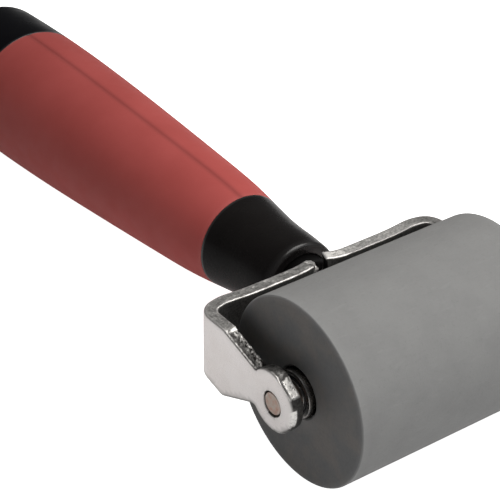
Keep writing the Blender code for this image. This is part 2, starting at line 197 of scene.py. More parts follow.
def rounded(corners, steps=5):
    """A closed outline from corners (x, y, rounding). A rounding of 0 leaves the point as it is.

    A point just outside each end of a rounding keeps the edge's shading and wear on the rounding.
    """
    outline = []
    n = len(corners)
    for i, (x, y, f) in enumerate(corners):
        if f <= 0:
            outline.append((x, y))
            continue
        here = Vector((x, y))
        to_last = Vector(corners[i - 1][:2]) - here
        to_next = Vector(corners[(i + 1) % n][:2]) - here
        room = 0.49 * min(to_last.length, to_next.length)
        to_last.normalize()
        to_next.normalize()
        half = to_last.angle(to_next) / 2
        if half > NEARLY_STRAIGHT:
            outline.append((x, y))
            continue
        reach = min(f / math.tan(half), room)
        f = reach * math.tan(half)
        centre = here + (to_last + to_next).normalized() * f / math.sin(half)
        first, last = here + to_last * reach - centre, here + to_next * reach - centre
        spread = first.angle(last)
        guard = 0.25 * f if room > 2 * reach else 0.0
        if guard:
            outline.append(tuple(here + to_last * (reach + guard)))
        for k in range(steps + 1):
            w1 = math.sin((1 - k / steps) * spread) / math.sin(spread)
            w2 = math.sin(k / steps * spread) / math.sin(spread)
            turn = first * w1 + last * w2
            outline.append(tuple(centre + turn))
        if guard:
            outline.append(tuple(here + to_next * (reach + guard)))
    return outline


# ---------------------------------------------------------------- mesh building
EDGE_BEND = (0.35, 1.95)  # how sharply a surface bends, per mm, where edge wear starts and is full


def add_piece(name, verts, faces, place, body, nodes, look, marks=None):
    """A smooth piece in mm and its own frame, put in place on its body, standing for CAD nodes.

    marks gives point attributes by name, with a number for each vertex.
    """
    mesh = bpy.data.meshes.new(name)
    mesh.from_pydata([Vector(v) * MM for v in verts], [], faces)
    for mark, values in (marks or {}).items():
        set_mark(mesh, mark, values)
    bm = bmesh.new()
    bm.from_mesh(mesh)
    bmesh.ops.remove_doubles(bm, verts=bm.verts, dist=1e-7)
    bmesh.ops.recalc_face_normals(bm, faces=bm.faces)
    if bm.calc_volume(signed=True) < 0:
        bmesh.ops.reverse_faces(bm, faces=bm.faces)
    bm.to_mesh(mesh)
    bm.free()
    obj = bpy.data.objects.new(name, mesh)
    bpy.context.scene.collection.objects.link(obj)
    obj.matrix_world = place
    mesh.materials.append(look)
    for poly in mesh.polygons:
        poly.use_smooth = True
    mark_edges(mesh)
    obj.modifiers.new("flats", 'WEIGHTED_NORMAL').weight = 80
    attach(obj, body)
    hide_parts(*nodes)


def set_mark(mesh, name, values):
    """Give the mesh a point attribute."""
    mesh.attributes.new(name, 'FLOAT', 'POINT').data.foreach_set("value", values)


def mark_edges(mesh):
    """Point attribute edge: near 1 on rounded outer edges, 0 on flats and in hollows."""
    count = len(mesh.vertices)
    co = np.empty(count * 3)
    no = np.empty(count * 3)
    mesh.vertices.foreach_get("co", co)
    mesh.vertices.foreach_get("normal", no)
    co, no = co.reshape(-1, 3) / MM, no.reshape(-1, 3)
    ends = np.empty(len(mesh.edges) * 2, int)
    mesh.edges.foreach_get("vertices", ends)
    a, b = ends.reshape(-1, 2).T
    step = co[b] - co[a]
    length = np.maximum(np.linalg.norm(step, axis=1), 1e-6)
    bend = ((no[b] - no[a]) * step).sum(1) / length ** 2
    sharpest = np.zeros(count)
    for end in (a, b):
        np.maximum.at(sharpest, end, bend)
    low, high = EDGE_BEND
    edge = np.clip((sharpest - low) / (high - low), 0, 1)
    set_mark(mesh, "edge", edge.astype(np.float32))


def angles(steps, fine=()):
    """Angles round a turned piece, in degrees, closer together around the fine ones."""
    extra = [f + d for f in fine for d in (-2.2, -1.6, -1.2, -0.8, -0.4, 0, 0.4, 0.8, 1.2, 1.6, 2.2)]
    plain = [360 * k / steps for k in range(steps)]
    near = [p for p in plain if all(abs((p - f + 180) % 360 - 180) > 2.6 for f in fine)]
    return sorted(near + [e % 360 for e in extra])


def turned(outline, axis, turns, dent=None):
    """Vertices and faces of a closed outline of (along, radius) turned round the X or Y axis.

    turns gives the angles, or how many there are. dent(along, radius, degrees) gives how far a point
    lies inside the plain shape.
    """
    turns = angles(turns) if isinstance(turns, int) else turns
    steps = len(turns)
    verts, rings = [], []
    for a, r in outline:
        if r < 1e-6:
            rings.append([len(verts)] * steps)
            verts.append((a, 0, 0) if axis == "X" else (0, a, 0))
            continue
        rings.append(list(range(len(verts), len(verts) + steps)))
        for t in turns:
            here = r - dent(a, r, t) if dent else r
            c, s = here * math.cos(math.radians(t)), here * math.sin(math.radians(t))
            verts.append((a, c, s) if axis == "X" else (c, a, s))
    faces = []
    for i, one in enumerate(rings):
        two = rings[(i + 1) % len(rings)]
        if one[0] == one[1] and two[0] == two[1]:
            continue
        for k in range(steps):
            n = (k + 1) % steps
            quad = [one[k], one[n], two[n], two[k]]
            faces.append([v for j, v in enumerate(quad) if v not in quad[:j]])
    return verts, faces


def both_ends(half):
    """A profile's +X half, closed by its mirror image."""
    return half + [(-p[0], *p[1:]) for p in reversed(half)]


# ---------------------------------------------------------------- material building
class Look:
    """A Principled material made of procedural nodes in the piece's own coordinates, in mm."""

    def __init__(self, name):
        self.mat = bpy.data.materials.new(name)
        self.mat.use_nodes = True
        self.tree = self.mat.node_tree
        self.shader = self.tree.nodes["Principled BSDF"]
        coords = self.add('ShaderNodeTexCoord').outputs["Object"]
        self.where = self.math3('SCALE', coords, scale=1 / MM)

    def add(self, kind, settings=None, **inputs):
        """A new node with its settings, and its inputs by name."""
        node = self.tree.nodes.new(kind)
        for key, value in (settings or {}).items():
            setattr(node, key, value)
        for key, value in inputs.items():
            self.put(node.inputs[key], value)
        return node

    def put(self, socket, value):
        """Link an input to another node's output, or set its value."""
        if isinstance(value, bpy.types.NodeSocket):
            self.tree.links.new(value, socket)
        elif isinstance(value, (tuple, list)) and len(value) == 3 and len(socket.default_value) == 4:
            socket.default_value = (*value, 1.0)
        else:
            socket.default_value = value

    def math(self, operation, a, b=0.0, clamp=False):
        """A sum, product or other operation on numbers."""
        node = self.add('ShaderNodeMath', dict(operation=operation, use_clamp=clamp))
        self.put(node.inputs[0], a)
        self.put(node.inputs[1], b)
        return node.outputs[0]

    def math3(self, operation, a, b=None, scale=None):
        """The same on vectors."""
        node = self.add('ShaderNodeVectorMath', dict(operation=operation))
        for socket, value in ((0, a), (1, b), ("Scale", scale)):
            if value is not None:
                self.put(node.inputs[socket], value)
        return node.outputs[0]

    def stretched(self, *factors):
        """The coordinates with each axis scaled, for grain that runs one way."""
        return self.math3('MULTIPLY', self.where, factors)

    def noise(self, size, detail=3.0, roughness=0.55, vector=None):
        """Noise from 0 to 1 whose blobs are about size mm."""
        node = self.add('ShaderNodeTexNoise', dict(noise_dimensions='3D'), Scale=1 / size, Detail=detail,
                        Roughness=roughness)
        self.put(node.inputs["Vector"], vector or self.where)
        return node.outputs["Fac"]

    def ramp(self, value, low, high, to_low=0.0, to_high=1.0, smooth=True):
        """A number that goes from to_low to to_high while value goes from low to high."""
        node = self.add('ShaderNodeMapRange', dict(interpolation_type='SMOOTHSTEP' if smooth else 'LINEAR'))
        for key, number in zip(("Value", "From Min", "From Max", "To Min", "To Max"),
                               (value, low, high, to_low, to_high)):
            self.put(node.inputs[key], number)
        return node.outputs["Result"]

    def mix(self, share, a, b):
        """Colour a where share is 0, colour b where it is 1."""
        node = self.add('ShaderNodeMix', dict(data_type='RGBA'), Factor=share, A=a, B=b)
        return next(o for o in node.outputs if o.type == 'RGBA')

    def blend(self, share, a, b):
        """Number a where share is 0, number b where it is 1."""
        node = self.add('ShaderNodeMix', dict(data_type='FLOAT'), Factor=share, A=a, B=b)
        return next(o for o in node.outputs if o.type == 'VALUE')

    def marked(self, mark, amount, colour, tint):
        """The colour with up to an amount of tint where one of the piece's marks is."""
        return self.mix(self.math('MULTIPLY', self.mark(mark), amount), colour, tint)

    def mark(self, name):
        """One of the piece's point attributes."""
        return self.add('ShaderNodeAttribute', dict(attribute_name=name)).outputs["Fac"]

    def normal_part(self, axis):
        """Size of the surface direction's part along one of the piece's own axes."""
        normal = self.add('ShaderNodeTexCoord').outputs["Normal"]
        return self.math('ABSOLUTE', self.along(axis, normal))

    def along(self, axis, vector=None):
        """A vector's part along one axis: of the coordinates, if no vector is given."""
        return self.add('ShaderNodeSeparateXYZ', Vector=vector or self.where).outputs[axis]

    def bump(self, height, depth_mm, normal=None):
        """Fine relief of a depth, on top of another relief if one is given."""
        node = self.add('ShaderNodeBump', Strength=1.0, Distance=depth_mm * MM, Height=height)
        if normal is not None:
            self.put(node.inputs["Normal"], normal)
        return node.outputs["Normal"]

    def finish(self, colour, roughness, metallic=0.0, normal=None, **more):
        """Connect the shader's inputs and hand over the material."""
        self.put(self.shader.inputs["Base Color"], colour)
        self.put(self.shader.inputs["Roughness"], roughness)
        self.put(self.shader.inputs["Metallic"], metallic)
        if normal is not None:
            self.put(self.shader.inputs["Normal"], normal)
        for key, value in more.items():
            self.put(self.shader.inputs[key.replace("_", " ")], value)
        return self.mat


def plated_steel():
    """Satin nickel plate. On its cut edge, shade runs from torn and dark (0) to burnished and light (1); the marks
    also paint shade on the inner faces, holes and notch, and a darker reflection on the low edges.
    """
    look = Look("plated_steel")
    edge, cut, shade = look.mark("edge"), look.mark("cut"), look.mark("shade")
    cloud = look.noise(9.0, 3.0)
    fine = look.noise(0.22, 2.0)
    grain = look.noise(0.5, 3.0, 0.65)
    plate = look.mix(look.ramp(cloud, 0.35, 0.65), (0.81, 0.765, 0.75), (0.85, 0.81, 0.80))
    mottled = look.math('MULTIPLY', shade, look.ramp(grain, 0.3, 0.7, 0.64, 1.32), clamp=True)
    metal = look.mix(mottled, (0.02, 0.0185, 0.0175), (0.93, 0.91, 0.88))
    colour = look.mix(cut, plate, metal)
    worn = look.math('MULTIPLY', edge, look.blend(cut, 0.4, look.math('MULTIPLY', shade, 0.5)))
    colour = look.mix(worn, colour, (0.80, 0.78, 0.76))
    level = look.ramp(look.normal_part("Z"), 0.93, 0.99)
    rubbed = look.math('MULTIPLY', look.ramp(mottled, 0.5, 0.9), level)
    cut_rough = look.blend(rubbed, look.ramp(mottled, 0.0, 1.0, 0.5, 0.38), 0.62)
    rough = look.blend(cut, look.ramp(fine, 0.3, 0.7, 0.27, 0.34), cut_rough)
    rough = look.blend(edge, rough, 0.48)
    normal = look.bump(fine, 0.004)
    pits = look.math('MULTIPLY', cut, look.ramp(shade, 0.1, 1.0, 1.0, 0.3))
    normal = look.bump(look.math('MULTIPLY', grain, pits), 0.08, normal)
    return look.finish(colour, rough, 1.0, normal)


def turned_steel(name, colour, tarnish_and_shade, roughness, axis, worn=0.5, stain_and_shade_span=(0.38, 0.6)):
    """Plain steel with fine turning rings round an axis, a little tarnish and worn, brighter edges; on the
    bearings the dark patches are painted shade and the brighter edges painted glints.
    """
    look = Look(name)
    squares = [look.math('POWER', look.along(k), 2.0) for k in "XYZ" if k != axis]
    radius = look.math('SQRT', look.math('ADD', *squares))
    both = look.add('ShaderNodeCombineXYZ', X=radius, Y=look.along(axis))
    rings = look.noise(0.16, 2.0, 0.6, both.outputs[0])
    spots = look.noise(1.3, 4.0, 0.6)
    # patches of tarnish; on the bearings they are near-black painted shade
    stains_and_shade = look.ramp(spots, *stain_and_shade_span)
    shade = look.marked("edge", worn, look.mix(stains_and_shade, colour, tarnish_and_shade), (0.8, 0.79, 0.78))
    rough = look.ramp(rings, 0.3, 0.7, roughness - 0.06, roughness + 0.08)
    rough = look.math('ADD', rough, look.math('MULTIPLY', stains_and_shade, 0.2))
    return look.finish(shade, rough, 1.0, look.bump(rings, 0.012))


def ground_rubber():
    """Grey roller rubber: ground round, smoother on its moulded ends, which are also darker, as painted shade."""
    look = Look("ground_rubber")
    end = look.ramp(look.normal_part("X"), 0.6, 0.95)
    cloud = look.noise(7.0, 4.0, 0.6)
    speck = look.noise(0.55, 3.0, 0.7)
    along = look.noise(1.1, 3.0, 0.6, look.stretched(0.25, 1.0, 1.0))
    side = look.mix(look.ramp(cloud, 0.3, 0.7), (0.242, 0.242, 0.240), (0.261, 0.261, 0.258))
    side = look.mix(look.ramp(speck, 0.56, 0.8, 0.0, 0.35), side, (0.17, 0.17, 0.168))
    side = look.mix(look.ramp(along, 0.55, 0.75, 0.0, 0.3), side, (0.30, 0.30, 0.295))
    # painted shade: the ends, found by which way the surface faces, take a darker colour than the side
    face = look.mix(look.ramp(cloud, 0.35, 0.65), (0.130, 0.131, 0.133), (0.162, 0.151, 0.142))
    face = look.mix(look.ramp(speck, 0.56, 0.75, 0.0, 0.3), face, (0.10, 0.10, 0.10))
    colour = look.marked("edge", 0.45, look.mix(end, side, face), (0.33, 0.33, 0.33))
    rough = look.blend(end, look.ramp(speck, 0.3, 0.7, 0.72, 0.86), look.ramp(speck, 0.3, 0.7, 0.5, 0.62))
    normal = look.bump(look.noise(0.32, 3.0, 0.7), 0.02)
    normal = look.bump(along, 0.03, normal)
    return look.finish(colour, rough, 0.0, normal, Specular_IOR_Level=0.35)


def soft_grip(name, low, high, scuff, roughness, specular, edge_shine=0.8, painted_shade_span=None):
    """Soft-touch moulded rubber: fine pebble, slight blotches, rubbed edges, painted shade along the parting line.

    The last argument gives the two places along Y between which painted shade takes the colour from its lightest
    to its darkest.
    """
    look = Look(name)
    cloud = look.noise(14.0, 3.0, 0.5)
    pebble = look.noise(0.3, 3.0, 0.65)
    dust = look.noise(1.6, 4.0, 0.7)
    colour = look.mix(look.ramp(cloud, 0.3, 0.7), low, high)
    colour = look.mix(look.ramp(dust, 0.6, 0.82, 0.0, 0.3), colour, scuff)
    colour = look.marked("edge", 0.25, colour, scuff)
    # painted shade along the parting line's groove
    colour = look.marked("seam", 0.26, colour, (0.0, 0.0, 0.0))
    if painted_shade_span:
        # painted shade, darker towards the grip's rear
        dark = look.ramp(look.along("Y"), *painted_shade_span, 0.0, 0.26, smooth=False)
        colour = look.mix(dark, colour, (0.0, 0.0, 0.0))
    specular = look.blend(look.mark("edge"), specular, specular + edge_shine)
    rough = look.ramp(look.noise(5.0, 3.0), 0.3, 0.7, roughness - 0.05, roughness + 0.06)
    normal = look.bump(pebble, 0.010)
    normal = look.bump(look.noise(2.4, 2.0), 0.02, normal)
    return look.finish(colour, rough, 0.0, normal, Specular_IOR_Level=specular)


def moulded_plastic(name, low, high, roughness, specular=0.4):
    """Hard moulded plastic with flow marks and a light texture."""
    look = Look(name)
    flow = look.noise(4.0, 4.0, 0.6, look.stretched(1.0, 0.4, 1.0))
    colour = look.mix(look.ramp(flow, 0.35, 0.65), low, high)
    colour = look.marked("edge", 0.3, colour, (0.04, 0.04, 0.04))
    rough = look.ramp(look.noise(0.9, 3.0), 0.3, 0.7, roughness - 0.06, roughness + 0.08)
    return look.finish(colour, rough, 0.0, look.bump(look.noise(0.4, 2.0), 0.01),
                       Specular_IOR_Level=specular)


PLATED = plated_steel()
PIN_STEEL = turned_steel("pin_steel", (0.47, 0.42, 0.37), (0.52, 0.31, 0.25), 0.40, "X", 0.1, (0.3, 0.75))
# the bearing's steel is dark with near-black patches, painted shade where the boss shades it; its lightened edges
# are painted glints
BEARING_STEEL = turned_steel("bearing_steel", (0.24, 0.22, 0.20), (0.014, 0.012, 0.011), 0.22, "X", 0.25)
TANG_STEEL = turned_steel("tang_steel", (0.42, 0.41, 0.40), (0.28, 0.26, 0.24), 0.36, "Y")
ALUMINIUM = turned_steel("core_aluminium", (0.72, 0.72, 0.73), (0.60, 0.60, 0.61), 0.34, "X")
GROUND_RUBBER = ground_rubber()
# the red grip's painted shade darkens it towards the cap
RED = soft_grip("red_soft_grip", (0.440, 0.080, 0.072), (0.472, 0.089, 0.081), (0.50, 0.11, 0.10),
                0.62, 0.2, edge_shine=0.1, painted_shade_span=(27.0, 112.0))
BLACK = soft_grip("black_soft_grip", (0.0062, 0.0053, 0.0053), (0.0100, 0.0088, 0.0085),
                  (0.018, 0.016, 0.016), 0.27, 0.08)
CAP_BLACK = soft_grip("black_cap_grip", (0.0025, 0.0025, 0.0035), (0.0040, 0.0040, 0.0050),
                      (0.010, 0.010, 0.011), 0.32, 0.03)
SEAL_RUBBER = soft_grip("seal_rubber", (0.006, 0.006, 0.006), (0.009, 0.009, 0.009), (0.02, 0.02, 0.02),
                        0.45, 0.2)
NECK_PLASTIC = moulded_plastic("neck_plastic", (0.002, 0.0018, 0.0018), (0.0035, 0.003, 0.003), 0.5, 0.08)
CORE_PLASTIC = moulded_plastic("core_plastic", (0.03, 0.03, 0.03), (0.045, 0.045, 0.045), 0.55)


# ---------------------------------------------------------------- fork
PLAN_POINTS = 2400
BORDER_STEP, HOLE_ROUNDING = 0.34, 0.5  # points along the blank's border; a hole's share of the rounding


def plan_curve():
    """The plate's middle line seen from above, from the crossbar's middle out to an arm's tip."""
    mid_r = BEND_R - PLATE_T / 2
    bend_x, bend_y = FORK_HALF_W - BEND_R, CROSS_REAR_Y + BEND_BACK - BEND_R
    cross = [(x, CROSS_REAR_Y - PLATE_T / 2 + cross_bulge(x)) for x in np.arange(-2.0, 23.6, 0.5)]
    bend = arc(bend_x, bend_y, mid_r, 78, 0, 20)
    arm = [(FORK_HALF_W - PLATE_T / 2, y) for y in np.arange(bend_y - 1.0, -8.5, -1.0)]
    points = np.array(cross + bend + arm)
    along = np.r_[0, np.cumsum(np.linalg.norm(np.diff(points, axis=0), axis=1))]
    x_at, y_at = spline(along, points[:, 0]), spline(along, points[:, 1])
    fine = np.linspace(0, along[-1], PLAN_POINTS)
    xs, ys = x_at(fine), y_at(fine)
    near = PLAN_POINTS // 6
    start = np.interp(0.0, xs[:near], fine[:near])
    return fine - start, xs, ys


def cross_bulge(x):
    """How far the crossbar stands back from its straight line at x."""
    return sum(height * math.exp(-((abs(x) - at) / width) ** 2) for at, height, width in CROSS_BULGES)


PLAN_U, PLAN_X, PLAN_Y = plan_curve()
PLAN_DX, PLAN_DY = np.gradient(PLAN_X, PLAN_U), np.gradient(PLAN_Y, PLAN_U)


def arm_u(y):
    """Distance along the plate's middle line from the crossbar's middle to a place on an arm."""
    half = PLAN_POINTS // 2
    return float(np.interp(-y, -PLAN_Y[half:], PLAN_U[half:]))


def tip_bend(u, z):
    """How far the crossbar's top edge is bent back at the notch."""
    near = math.exp(-((u - TIP_U) / TIP_W) ** 2) * share(u, -0.4, 0.6)
    return TIP_BEND * near * share(z, ARM_TOP - 2.45, ARM_TOP - 0.45) ** 2


def bent(u, z, w):
    """Place of a point of the flat blank once bent: u along the blank, w out from its middle plane."""
    side = 1.0 if u >= 0 else -1.0
    x, y = np.interp(abs(u), PLAN_U, PLAN_X), np.interp(abs(u), PLAN_U, PLAN_Y)
    dx, dy = np.interp(abs(u), PLAN_U, PLAN_DX), np.interp(abs(u), PLAN_U, PLAN_DY)
    size = math.hypot(dx, dy)
    return (side * (x - dy / size * w), y + dx / size * w + tip_bend(u, z), z)


def blank_outline():
    """Outline of the flat blank, (u, z, lean): lean slants a wall through the plate's thickness."""
    def arm(side):
        boss = [(p[0], p[1], 0) for p in arc(BOSS_BACK, BOSS_UP, BOSS_R, 46, 308, 56)]
        shape = ([(15.9, ARM_TOP, 1.8), (5.4, 4.93, 0.4)] + boss
                 + [(5.8, -3.66, 1.8), (16.42, ARM_BOTTOM, 2.0), (22.0, CROSS_BOTTOM, 3.0)])
        return [(side * arm_u(y), z, f) for y, z, f in shape]

    right, left = arm(1), arm(-1)
    x0, x1 = NOTCH_X
    low_notch = [(x1, CROSS_BOTTOM, 0.5), (x1, NOTCH_BOTTOM_Z, NOTCH_CORNER),
                 (x0, NOTCH_BOTTOM_Z, NOTCH_CORNER), (x0, CROSS_BOTTOM, 0.5)]
    broken = [(BROKEN_X, ARM_TOP, 0.2), (x0, ARM_TOP - BROKEN_DROP, 0.3)]
    corners = ([(x1, NOTCH_TOP_Z, 0.5), (x1, ARM_TOP, 0.25)] + right + low_notch + left[::-1] + broken
               + [(x0, NOTCH_TOP_Z, 0.5)])
    return rounded(corners, 6)


def evenly(outline, step):
    """The same closed outline with points about step apart."""
    points = np.array(outline + outline[:1], float)
    along = np.r_[0, np.cumsum(np.linalg.norm(np.diff(points, axis=0), axis=1))]
    count = int(along[-1] / step)
    at = np.linspace(0, along[-1], count, endpoint=False)
    return np.c_[np.interp(at, along, points[:, 0]), np.interp(at, along, points[:, 1])]


def outward(points):
    """Directions away from the inside of a closed outline, one for each point."""
    tangent = np.roll(points, -1, 0) - np.roll(points, 1, 0)
    tangent /= np.linalg.norm(tangent, axis=1)[:, None]
    normal = np.c_[tangent[:, 1], -tangent[:, 0]]
    x, y = points.T
    area = (x * np.roll(y, -1) - y * np.roll(x, -1)).sum()
    return normal if area > 0 else -normal


def lean(u, z):
    """Slant of the notch's wall, in mm of u for each mm of thickness."""
    between_notches = NOTCH_BOTTOM_Z - NOTCH_CORNER < z < NOTCH_TOP_Z - NOTCH_CORNER
    if between_notches or not 0.0 < u < LEAN_END:
        return 0.0
    return NOTCH_LEAN * min(1.0, LEAN_END - u)


def section():
    """The plate's edge from its outer to its inner face: (inset, w, how much it is a cut surface)."""
    half = PLATE_T / 2
    rows = []
    for k in range(ROLLOVER_STEPS + 1):
        a = math.radians(90 * k / ROLLOVER_STEPS)
        w = half - ROLLOVER * (1 - math.cos(a))
        rows.append((ROLLOVER * (1 - math.sin(a)), w, 0.2 * max(0, k - 1)))
    for w in np.linspace(half - ROLLOVER, -half + BURR, WALL_STEPS + 1)[1:-1]:
        rows.append((0.0, w, 1.0))
    for k in range(BURR_STEPS + 1):
        a = math.radians(90 * k / BURR_STEPS)
        rows.append((BURR * (1 - math.cos(a)), -half + BURR - BURR * math.sin(a), 1.0))
    return rows


def near_outer(w):
    """Whether w is in the cut edge's band along the plate's outer face."""
    return w > PLATE_T / 2 - BAND_OUTER


def near_inner(w):
    """Whether w is in the cut edge's band along the plate's inner face."""
    return w < -PLATE_T / 2 + BAND_INNER


def boss_turn(u, z):
    """Angle round the arm's round end in degrees, back 0, up 90, front 180; None away from it."""
    y = bent(u, z, 0.0)[1]
    up, back = z - BOSS_UP, y - BOSS_BACK
    if math.hypot(up, back) < BOSS_R + BOSS_MARGIN and back < BOSS_NECK:
        return math.degrees(math.atan2(up, back)) % 360
    return None


def on_torn_edge(y, z):
    """Whether this is the slanted stretch of an arm's upper edge, where the metal tore."""
    return TORN_Y[0] < y < TORN_Y[1] and z > TORN_Z


def near_broken_corner(u, z):
    """Whether this is the corner of the crossbar's top edge that is broken off at the notch."""
    return 1.1 * BROKEN_X < u < 0.0 and z > ARM_TOP - BROKEN_DROP - 0.5


def on_notch_wall(u, z):
    """Whether this is the upper notch's wall, below the corners of the top edge."""
    return abs(u) < 2.0 and 0.0 < z < ARM_TOP - 0.3


def cracked(x, y, z, w):
    """Whether a thin crease or a chip is here on the bright flat of the arm's round end."""
    crease = abs(noise.noise(Vector((x * 0.4 + 2.0, y * 0.55, z * 0.55 + w * 0.9)))) < 0.035
    chip = noise.noise(Vector((x * 1.3, y * 1.3 + 5.0, z * 1.3 - w * 1.6))) > 0.47
    return crease or chip


def boss_shade(turn, place, w, grain):
    """How light the cut edge is on the arm's round end, at an angle round it."""
    if turn < FLAT_BRIGHT - 3.0 * (PLATE_T / 2 - w) - 5.0 * grain:
        return 0.5 if near_outer(w) and turn > 85 else 0.20 + 0.2 * grain
    if turn < FLAT_TO:
        return 0.25 if cracked(*place, w) else 1.0
    if LIP_FROM <= turn < LIP_TO:
        return 1.0 if w > PLATE_T / 2 - LIP else 0.10
    return DARK_SHADE if turn < DARK_TO else 0.4 + 0.3 * grain


def torn_shade(y, z, w, grain):
    """How light the torn stretch is: flecked, light where the tear starts, dark along its middle."""
    fleck = noise.noise(Vector((y * 2.1, z * 2.1, w * 2.4)))
    if y > TEAR_START_Y:
        return 0.6 + 0.4 * grain - 0.2 * w + 0.5 * fleck
    if near_outer(w):
        return 0.3 + 0.5 * fleck
    if w > -0.1:
        return 0.03 + 0.12 * max(grain, 0.0) + 0.25 * max(fleck, 0.0)
    return 0.06 + 0.012 * (y - TORN_Y[0]) + 0.25 * grain + 0.5 * fleck


def crossbar_shade(u, w, uneven):
    """How light the crossbar's top edge is: brightest at the notch, and evener on the notch's right."""
    if u > 0:
        fresh = 1 - share(u, 2.5, 7.5)
        light = 0.36 + 0.75 * fresh if near_inner(w) else 0.62 + 0.45 * fresh - 0.3 * share(u, 21.0, 28.0)
        return light + uneven * (1 - 0.6 * share(u, 7.0, 12.0))
    light = 0.6 if near_inner(w) else 0.44
    if u > -3.0:
        light += 0.25 if w > 0 else -0.2
    return light + uneven


def cut_shade(u, z, w):
    """How light the cut edge is, from 0 where the metal tore to 1 where the tool burnished it; painted shade on
    the notch's walls and a painted darker reflection on the low edges.
    """
    x, y, _ = bent(u, z, 0.0)
    grain = noise.fractal(Vector((x * 0.9, y * 0.9, z * 0.9 + w * 0.7)), 0.6, 2.0, 3)
    streak = noise.noise(Vector((u * 0.45, w * 2.0, 3.0)))
    uneven = 0.22 * grain + 0.25 * streak
    turn = boss_turn(u, z)
    if turn is not None:
        return boss_shade(turn, (x, y, z), w, grain)
    if on_torn_edge(y, z):
        return torn_shade(y, z, w, grain)
    if near_broken_corner(u, z):
        return 0.8 + 0.4 * grain
    # painted shade: the notch's walls, torn metal, are painted nearly black where the notch is in shade
    if on_notch_wall(u, z):
        return NOTCH_PAINTED_SHADE
    # painted darker reflection along the low edges of the outer face
    if near_outer(w) and z < LOW_EDGE_Z:
        return 0.3 + 0.1 * grain
    if y > CROSS_FROM_Y and z > 0:
        return crossbar_shade(u, w, uneven)
    return 0.40 + uneven


def rim_depth(u, z, w):
    """How far the cut edge lies inside the plate's outline."""
    light = cut_shade(u, z, w)
    rough = noise.fractal(Vector((u * 1.3, z * 1.3, w * 0.4)), 0.6, 2.0, 3)
    deep = CUT_ROUGHNESS * (0.5 + 0.5 * rough) + TORN_DEPTH * max(0.0, 1 - light / TORN_BELOW)
    turn = boss_turn(u, z)
    if turn is not None and FLAT_FROM < turn < FLAT_TO:
        flat = math.cos(math.radians(FLAT_TO - FLAT_FACES)) / math.cos(math.radians(turn - FLAT_FACES))
        deep += BOSS_R * (1 - flat) * share(turn, FLAT_FROM, FLAT_BRIGHT)
    return deep


def rollover(z):
    """How wide the outer face's rolled-over edge is, as a share of its plain width."""
    return 1.0 + (LOW_ROLLOVER - 1.0) * share(LOW_EDGE_Z - z, 0.0, 1.5)


def lip_depth(u, z, w):
    """Extra depth on the burnished lip low on the arm's round end, and on the crossbar's broken corner."""
    if near_broken_corner(u, z):
        return BROKEN_BEVEL * max(0.0, -w)
    turn = boss_turn(u, z)
    if turn is None or not LIP_FROM < turn < LIP_TO:
        return 0.0
    return LIP_BEVEL * max(0.0, (w - PLATE_T / 2 + LIP) / LIP)


def cut_share(k, u, z, plain):
    """How much row k of the section is a cut surface: more than plain along the tear, and low down, where the
    darker cut colour is a painted darker reflection.
    """
    low = z < LOW_EDGE_Z
    if k < ROLLOVER_STEPS and (low or on_torn_edge(bent(u, z, 0.0)[1], z)):
        return min(1.0, (0.35 if low else 0.0) + 0.4 * k)
    return plain


def rim_row(rim, rows, k):
    """Row k of the section carried round a rim: its points on the flat blank, and its two marks."""
    points, normals, outer = rim
    inset, w, plain_cut = rows[k]
    flat, cut, shade = [], [], []
    for (u, z), (nu, nz) in zip(points, normals):
        deep = inset * (1.0 if outer else HOLE_ROUNDING) * (rollover(z) if w > 0 else 1.0)
        # painted shade on the holes' walls
        light = DARK_SHADE
        if outer:
            deep += plain_cut * rim_depth(u, z, w) + lip_depth(u, z, w)
            light = cut_shade(u, z, w)
        # painted shade on the inner face's edge row, so the inner face is dark right up to the burr
        if k == len(rows) - 1 and not near_broken_corner(u, z):
            light = INSIDE_PAINTED_SHADE_LIGHT
        flat.append((u - nu * deep + lean(u, z) * w, z - nz * deep))
        cut.append(cut_share(k, u, z, plain_cut))
        shade.append(light)
    return flat, cut, shade


def fork_frame():
    """The bent plate: two faces and every rim with its rolled-over edge, rough cut wall and burr."""
    border = evenly(blank_outline(), BORDER_STEP)
    holes = [np.array(arc(side * arm_u(0.0), 0.0, PIN_HOLE_R, 0, 360, 72)[:-1]) for side in (1, -1)]
    holes.append(np.array(arc(0.0, TANG_HOLE_Z, TANG_HOLE_R, 0, 360, 60)[:-1]))
    rims = [(border, outward(border), True)] + [(hole, -outward(hole), False) for hole in holes]
    verts, faces, cut, shade = [], [], [], []
    rows = section()
    sheets = {0: [], len(rows) - 1: []}
    for rim in rims:
        first, n = len(verts), len(rim[0])
        for k, (_, w, _) in enumerate(rows):
            flat, row_cut, row_shade = rim_row(rim, rows, k)
            verts += [bent(u, z, w) for u, z in flat]
            cut += row_cut
            shade += row_shade
            if k in sheets:
                ids = list(range(first + k * n, first + (k + 1) * n))
                sheets[k].append((ids, np.array(flat)))
        for k in range(len(rows) - 1):
            a, b = first + k * n, first + (k + 1) * n
            faces += [[a + i, a + (i + 1) % n, b + (i + 1) % n, b + i] for i in range(n)]
    for k, loops in sheets.items():
        w = rows[k][1]
        add_sheet(verts, faces, loops, w)
        added = len(verts) - len(cut)
        # painted shade: the inner faces take dark metal, the outer faces plain plate
        cut += [INSIDE_PAINTED_SHADE_SHARE if w < 0 else 0.0] * added
        shade += [INSIDE_PAINTED_SHADE_LIGHT] * added
    add_piece("fork_plate", verts, faces, ON_TOOL, FORK, ["fork_frame"], PLATED,
              dict(cut=cut, shade=shade))


